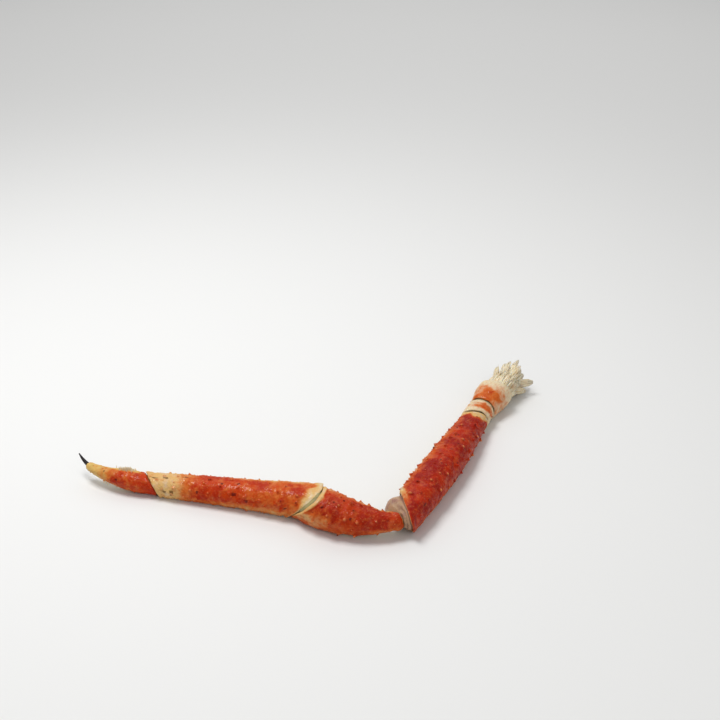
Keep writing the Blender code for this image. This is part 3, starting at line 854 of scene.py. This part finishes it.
# Ischium: the short ring of ivory shell between the coxa and the merus, flushed orange on top and
# set with a few low spines.
SPINE_ENDS = 0.045
SPINE_START = 0.3
SPINE_STAGGER = 0.45
SPINE_WANDER = 0.22
SPINE_SWING = 10
SPINE_HEIGHTS = (0.5, 1.35)
SPINE_CLEARANCE = 0.3 * MM
SPINE_SEED = 7


def spine_places(part, spacing, rows, tall, number):
    """(share, angle, height) of a limb's spines: staggered rows at the stated angles, each spine a
    little off its place, and none that would touch the surface below."""
    dice = random.Random(SPINE_SEED + number)
    places = []
    count = max(1, round(part.length / spacing))
    for line, row in enumerate(rows):
        for step in range(count):
            wander = dice.uniform(-SPINE_WANDER, SPINE_WANDER)
            share = (step + SPINE_START + SPINE_STAGGER * (line % 2) + wander) / count
            angle = radians(row + dice.uniform(-SPINE_SWING, SPINE_SWING))
            height = tall * dice.uniform(*SPINE_HEIGHTS)
            lowest = skin(part, share, angle)[2] - 0.8 * height
            if SPINE_ENDS < share < 1 - SPINE_ENDS and lowest > SPINE_CLEARANCE:
                places.append((share, angle, height))
    return places


SHELL_WALL = 1.2 * MM
points, marks, near, far, angles = shell_grid(
    ischium, 0.25 * MM, 210, 31, SHELL_WALL, spine_places(ischium, 6.5 * MM, (50, 110, 170), 1.1 * MM, 0),
    grains=150, rims=(0.5, 0.5), reach=(0.4 * MM, 0.5 * MM),
)
flush = 0.5 * bell(angles, 120, 60)
marks["pale"] = 0.85 - flush + 0.4 * fade(np.minimum(near, far), 2 * MM, 4.5 * MM)
new_piece(tube_mesh("ischium_shell", (points, marks)), ivory_shell, "ischium")

# Base membrane: the skin in the joint between the ischium and the merus. It is the same damp, folded
# skin as the hip's, held inside the lips of the two shells, and its crease is as dark, with the same
# painted shade in its folds and under the lips.
BASE_DEPTH = 2.0 * MM
merus = limb(
    limb_end(ischium, BASE_DEPTH), 249, -8, 1, 104 * MM,
    ((0, 14.4), (0.12, 15.6), (0.35, 18.0), (0.65, 19.0), (0.85, 18.6), (0.96, 18.0), (1, 17.4)),
    near=(0.25, 0.25, 0), far=(-1.2, -1.15, 0.3),
)
membrane = joint_skin(ischium, merus, 24, 200, 1.6, 0.2 * MM, seed=2)
new_piece(tube_mesh("base_skin", membrane), body_skin, "base_membrane")

# Merus: the long upper segment. Its outer and top faces are orange-red, darkened to a deeper red
# as painted shade, and set with low spines; its inner face is ivory, and cream keels run along the
# edge between them.
SPINE_ROWS = (12, 50, 88, 122, 152, 182, 228, 330)


def palest(*fields):
    """The largest of several fields at each point."""
    return reduce(np.maximum, fields)


def limb_pale(near, far, angles, rims, flank=0.42, keel=0.4):
    """How pale a limb is, from 0 for red over 0.5 for orange and 1 for cream to 1.5 for ivory: ivory
    on its inner and lower faces, a little paler along its lower flank and upper keel, and cream in a
    wavering rim of about the stated width, in millimetres, at each end, widest on top."""
    belly = 1.5 * fade(np.cos(angles - radians(318)), 0.45, -0.15)
    side = flank * bell(angles, 212, 26) + keel * bell(angles, 54, 16)
    waver = 1 + 0.25 * np.sin(3 * angles + 1) + 0.15 * np.sin(8 * angles)
    waver = np.maximum(waver * (0.6 + 0.6 * np.cos(angles - radians(80))), 0.15)
    ends = [
        fade(apart / MM, width * waver * 0.5, width * waver * 1.7)
        for apart, width in zip((near, far), rims)
    ]
    return palest(belly, side, *ends)


def scattered_spots(count, first, last, seed):
    """(share, degrees, length, width) of dark spots at random between two angles of a limb."""
    dice = np.random.RandomState(seed)
    return dice.uniform((0.06, first, 0.8, 0.7), (0.94, last, 2.0, 1.5), (count, 4))


def spotted(places, spots, height):
    """The spines' places, with a low stud under each spot as well."""
    return places + [(share, radians(degrees), height) for share, degrees, _, _ in spots]


spots = scattered_spots(22, 0, 360, 43)
points, marks, near, far, angles = shell_grid(
    merus, 0.26 * MM, 226, 41, SHELL_WALL, spine_places(merus, 9.5 * MM, SPINE_ROWS, 1.5 * MM, 1),
    tooth_places(merus, 3.6 * MM, (40, 57, 226, 240), 0.65 * MM, 42), grains=900, rough=0.14 * MM,
    reach=(0.3 * MM, 0), spots=spots,
)
knee_corner = bell(angles, 52, 40) * fade(far, 3.5 * MM, 8 * MM)
marks["pale"] = palest(limb_pale(near, far, angles, (4, 0.12)), knee_corner)
# Painted shade: the merus's reds are darker than the other shells'.
shade_darkened_shell = shell_material("shade-darkened red shell", screen(176, 42, 5), screen(144, 24, 3), screen(194, 84, 28))
new_piece(tube_mesh("merus_shell", (points, marks)), shade_darkened_shell, "merus")

# Knee membrane: the wide soft skin on the inner side of the knee. It bulges out of the gap that
# the two slanted shell ends leave, dull beige with a few folds. Its colours are darkened a little as
# painted shade, and its pinkish grey edges are painted shade where the shell ends cover it.
KNEE_REACH = 7.6 * MM
carpus = limb(
    limb_end(merus, KNEE_REACH), 210, -72, 0.5, 51.5 * MM,
    ((0, 9.0), (0.12, 10.0), (0.33, 14.2), (0.57, 17.8), (0.8, 19.8), (1, 19.4)),
    near=(1.1, 0, 0), far=(0.45, 0.45, -1.15), height=(8.0 * MM, resting_height(19.4 * MM)),
)
membrane = joint_skin(
    merus, carpus, 60, 200, 1.7, 0.3 * MM, bulge=0.5 * MM, inner_bulge=4.6 * MM, seed=3,
)
# Painted shade: light and tint darkened a little, and a strong rim share at the shell ends.
knee_skin = skin_material(
    "knee skin", screen(182, 146, 114), screen(122, 80, 76), screen(170, 122, 104), 0.36, 0.08, 0.8
)
new_piece(tube_mesh("knee_skin", membrane), knee_skin, "knee_membrane")

# Carpus: the bent segment past the knee, narrow at the knee and wide at the wrist. It is red shell,
# a little darker than the propodus's as painted shade, that pales towards the wrist, with a cream
# lobe beside the knee, and its far lip reaches over the wrist's skin.
WRIST_REACH = 0.4 * MM
# A dark spot that shows is (share, degrees, length, width), the last two in millimetres.
CARPUS_SPOTS = (
    (0.86, 132, 2.0, 1.8), (0.754, 106, 1.5, 1.3), (0.633, 88, 1.5, 1.2), (0.477, 145, 1.4, 1.2),
)


def wrist_reach(sides):
    """How far a shell's lip reaches over the wrist's skin: WRIST_REACH, doubled on the outer side."""
    return WRIST_REACH * (1 + bell(round_angles(sides), 150, 50))


spots = [*CARPUS_SPOTS, *scattered_spots(7, 230, 400, 53)]
places = spotted(spine_places(carpus, 9.0 * MM, SPINE_ROWS[:-1], 1.35 * MM, 2), CARPUS_SPOTS, 0.7 * MM)
points, marks, near, far, angles = shell_grid(
    carpus, 0.22 * MM, 236, 51, SHELL_WALL, places,
    tooth_places(carpus, 4.4 * MM, (226,), 0.4 * MM, 52), grains=420, rough=0.14 * MM,
    reach=(0, wrist_reach(236)), spots=spots,
)
marks["pale"] = palest(
    limb_pale(near, far, angles, (0.15, 2.3), keel=0.55),
    0.72 * bell(angles, 185, 46) * fade(far, 12 * MM, 25 * MM),
    1.2 * bell(angles, 58, 17) * np.exp(-(((near / MM - 9) / 4) ** 2)),
    bell(angles, 40, 32) * fade(near, 2.5 * MM, 6 * MM),
)
# Painted shade: these reds are a little darker than the propodus's.
carpus_shell_with_painted_shade = shell_material("red shell with painted shade", screen(178, 52, 7), screen(156, 34, 4), screen(198, 92, 36))
new_piece(tube_mesh("carpus_shell", (points, marks)), carpus_shell_with_painted_shade, "carpus")

# Wrist membrane: the crease between the carpus and the propodus. Its skin is held inside the two
# shells and lies a little below their lips, greenish, and darkened at its edges with painted shade
# where the lips cover it.
WRIST_DEPTH = 2.0 * MM
propodus = limb(
    limb_end(carpus, WRIST_DEPTH), 164.5, 4.3, 1, 85.1 * MM,
    ((0, 18.5), (0.06, 18.0), (0.3, 15.5), (0.6, 13.9), (0.85, 12.6), (0.95, 12.0), (1, 11.8)),
    near=(-0.04, -0.04, -1.05), far=(0.7, 0.7, 0.45),
)
membrane = joint_skin(carpus, propodus, 20, 180, 0.6, 0.12 * MM, bulge=0.75 * MM, seed=4)
crease_skin = skin_material(
    "crease skin", screen(166, 154, 106), screen(100, 96, 62), screen(140, 126, 82), 0.4, 0.3, 0.5
)
new_piece(tube_mesh("wrist_skin", membrane), crease_skin, "wrist_membrane")

# Propodus: the long lower segment. It is the brightest red in its middle and turns cream-yellow
# over its last quarter, with a few dark dashes, which are given as the carpus's spots are.
PROPODUS_SPOTS = (
    (0.527, 108, 1.4, 1.3), (0.425, 101, 2.2, 1.2), (0.435, 149, 2.4, 2.2), (0.349, 170, 2.0, 1.5),
    (0.088, 179, 1.6, 1.2), (0.673, 157, 1.6, 1.4), (0.619, 93, 1.2, 1.0),
)
TOE_DASHES = (
    (0.892, 102, 3.0, 1.5), (0.856, 170, 2.8, 1.9), (0.925, 174, 3.2, 1.6), (0.965, 104, 3.4, 0.8),
    (0.772, 88, 3.0, 0.9), (0.9, 300, 2.4, 1.4), (0.85, 20, 2.6, 1.3),
)
spots = [*PROPODUS_SPOTS, *TOE_DASHES, *scattered_spots(10, 240, 400, 63)]
places = spotted(spine_places(propodus, 9.0 * MM, SPINE_ROWS, 1.25 * MM, 3), PROPODUS_SPOTS, 0.7 * MM)
points, marks, near, far, angles = shell_grid(
    propodus, 0.24 * MM, 210, 61, SHELL_WALL, places,
    tooth_places(propodus, 3.8 * MM, (40, 57, 226, 240), 0.5 * MM, 62), grains=700, rough=0.12 * MM,
    reach=(wrist_reach(210), 0.35 * MM), spots=spots,
)
keel = 0.35 + 0.3 * fade(near, 30 * MM, 50 * MM)
# The extra 0.2 of paleness, full over the first 18 mm from the wrist and gone by 40 mm, is a painted soft
# highlight.
marks["pale"] = palest(
    limb_pale(near, far, angles, (2.9, 0.5), 0.5, keel) + 0.2 * fade(near, 18 * MM, 40 * MM),
    fade(far, 9 * MM, 32 * MM),
)
red_shell = shell_material("red shell")
new_piece(tube_mesh("propodus_shell", (points, marks)), red_shell, "propodus")

# Toe membrane: the skin in the joint between the propodus and the dactyl. It is stained as red as
# the shell, and painted shade darkens it under the lips, so it shows as a thin dark line between the
# two lips.
TOE_DEPTH = 1.3 * MM
dactyl = limb(
    limb_end(propodus, TOE_DEPTH), 171, -26, 1.5, 38.4 * MM,
    ((0, 10.6), (0.2, 10.8), (0.4, 9.7), (0.6, 7.6), (0.8, 5.9), (0.94, 4.6), (1, 4.0)),
    near=(0.65, 0.65, 0.44), height=(resting_height(11.8 * MM), 8.6 * MM),
)
membrane = joint_skin(propodus, dactyl, 16, 140, 0.6, 0.08 * MM, bulge=0.8 * MM, seed=5)
toe_crease = skin_material(
    "toe crease", screen(176, 84, 36), screen(112, 30, 10), screen(150, 60, 24), 0.4, 0.3, 0.8
)
new_piece(tube_mesh("toe_skin", membrane), toe_crease, "toe_membrane")

# Dactyl: the curved toe, of thin shell that is orange-red at its root and cream-yellow towards the
# nail. Pale hairs grow out of it in a patch on its upper edge and in a small one below.
DACTYL_SPOTS = (
    (0.451, 157, 1.5, 1.4), (0.281, 212, 1.4, 0.9), (0.667, 121, 1.1, 0.8), (0.5, 20, 1.5, 1.2),
)
# A patch of hairs is its count, its middle and its spread, the last two as (share of the length,
# degrees). A hair is drawn as (share, degrees, length, width), the last two in millimetres.
HAIR_PATCHES = ((150, (0.33, 60), (0.07, 12)), (14, (0.62, 225), (0.03, 6)))
HAIR_SIZES = (1.1, 0.42)
HAIR_SIZE_SPREADS = (0.35, 0.08)
HAIR_LIMITS = ((0.1, 0, 0.4, 0.25), (0.9, 360, 1.9, 0.6))
HAIR_ROOT = 0.3
HAIR_SEED = 74
HAIR_MARKS = {"pale": 1.6, "tip": 0, "shade": 1, "foot": 0, "grain": 0, "spot": 0}
HAIR_MARKS["flow"] = np.zeros((1, 1, 3))


def hair_tubes():
    """The hairs as tubes: roots scattered about each patch's middle, just inside the shell, and each
    hair standing out of it, tilted towards the nail."""
    dice = np.random.RandomState(HAIR_SEED)
    hairs = []
    for count, middle, spread in HAIR_PATCHES:
        drawn = dice.normal(middle + HAIR_SIZES, spread + HAIR_SIZE_SPREADS, (count, 4))
        for share, degrees, size, wide in drawn.clip(*HAIR_LIMITS):
            root = skin(dactyl, share, radians(degrees), grow=-HAIR_ROOT * MM)
            leaning = radians(degrees + 8 * (wide - 0.3))
            pointing = unit(skin(dactyl, share + 0.02, leaning, grow=size * MM) - root)
            sizes = ((size + HAIR_ROOT) * MM, wide * MM, wide * MM, 0)
            hair, _ = strand(root, pointing, square_to(UP, pointing), *sizes, 6, 6, 0, 0)
            hairs.append((hair, HAIR_MARKS))
    return hairs


points, marks, near, far, angles = shell_grid(
    dactyl, 0.2 * MM, 150, 71, 0.6 * MM, spine_places(dactyl, 9.0 * MM, (30, 100, 175, 230), 0.8 * MM, 4),
    grains=260, rough=0.07 * MM, rims=(0.6, 0.3), reach=(0.35 * MM, 0), spots=DACTYL_SPOTS,
)
# The cream band along the top edge, from about 6 mm past the root onwards, is a painted highlight.
marks["pale"] = palest(
    limb_pale(near, far, angles, (0.15, 4)) * fade(far, 20 * MM, 34 * MM),
    fade(far, 5 * MM, 25 * MM),
    0.95 * bell(angles, 64, 20) * fade(far, 32 * MM, 38 * MM),
)
marks["tip"] = marks["tip"] * 0.4
toe_shell = shell_material("toe shell", orange=screen(202, 112, 46), cream=screen(213, 178, 102))
new_piece(tube_mesh("dactyl_shell", (points, marks), *hair_tubes()), toe_shell, "dactyl")

# Nail: the horn tip of the toe, near black and smooth with faint lengthwise lines. Its root sits in
# the dactyl's end, and its tip is rounded in three small steps.
nail = limb(
    limb_end(dactyl, FACE_GAP), 135, -14, 1, 11.3 * MM,
    ((0, 2.2), (0.3, 1.8), (0.7, 1.15), (1, 0.5)),
    height=(9.2 * MM, 11.0 * MM),
)
share = np.concatenate([[0, 0], np.linspace(0, 0.98, 60), [0.98, 0.98, 0.98]])[:, None]
pushed = np.concatenate([[-2.5, -1.0], np.zeros(60), [0.08, 0.14, 0.16]])[:, None] * MM
shrunk = np.concatenate([[-0.15, -0.05], np.zeros(60), [-0.08, -0.16, -0.22]])[:, None] * MM
angles = round_angles(72)[None, :]
lines = 0.02 * MM * np.sin(19 * angles + 3 * share) * (1 - share)
points = skin(nail, share, angles, grow=shrunk + lines, along=pushed)
nail_material, tree, shader = new_material(
    "nail horn", Roughness=0.4, Specular_IOR_Level=0.2, Coat_Weight=0.08, Coat_Roughness=0.1
)
blots = cloudy(tree, object_place(tree), 700, 3)
feed(tree, shader.inputs["Base Color"], blend(tree, blots, screen(10, 4, 8), screen(32, 16, 22)))
new_piece(tube_mesh("nail_horn", (points, {})), nail_material, "nail")

# The setting: a plain pale floor, a soft light overhead, a weaker one from the front and a wide one
# over the far floor.
floor_mesh = bpy.data.meshes.new("floor")
floor_mesh.from_pydata([(-3, -3, 0), (3, -3, 0), (3, 3, 0), (-3, 3, 0)], [], [(0, 1, 2, 3)])
floor = bpy.data.objects.new("floor", floor_mesh)
floor_material, tree, shader = new_material("floor", Base_Color=(0.78, 0.78, 0.77, 1), Roughness=0.7)
floor_mesh.materials.append(floor_material)
bpy.context.scene.collection.objects.link(floor)


def area_light(name, place, target, size, power):
    """A square soft light at a place, facing a target."""
    light = bpy.data.lights.new(name, "AREA")
    light.size = size
    light.energy = power
    lamp = bpy.data.objects.new(name, light)
    lamp.location = place
    lamp.rotation_euler = (Vector(target) - Vector(place)).to_track_quat("-Z", "Y").to_euler()
    bpy.context.scene.collection.objects.link(lamp)


area_light("key", (-0.25, 0.1, 0.8), (0, 0, 0), 0.35, 4.9)
area_light("fill", (0.4, -0.7, 0.5), (0, 0, 0), 0.6, 1.2)
area_light("back", (0, 1.8, 1.1), (0, 1.9, 0), 2.4, 12)
world = bpy.data.worlds.new("world")
world.use_nodes = True
backdrop = world.node_tree.nodes["Background"].inputs
backdrop["Color"].default_value = (1, 1, 1, 1)
backdrop["Strength"].default_value = 0.38
bpy.context.scene.world = world
bpy.context.scene.view_settings.view_transform = "Standard"

# The camera that took the photo: its focal length and its frame in pixels, its place in metres and
# its tilt from straight down in degrees.
FOCAL_LENGTH = 1019
FRAME_WIDTH = 720
CAMERA_PLACE = (0.023, -0.498, 0.312)
CAMERA_TILT = 63.17
camera_data = bpy.data.cameras.new("camera")
camera_data.sensor_width = 36
camera_data.lens = camera_data.sensor_width * FOCAL_LENGTH / FRAME_WIDTH
camera = bpy.data.objects.new("camera", camera_data)
camera.location = CAMERA_PLACE
camera.rotation_euler = (radians(CAMERA_TILT), 0, 0)
bpy.context.scene.collection.objects.link(camera)
bpy.context.scene.camera = camera
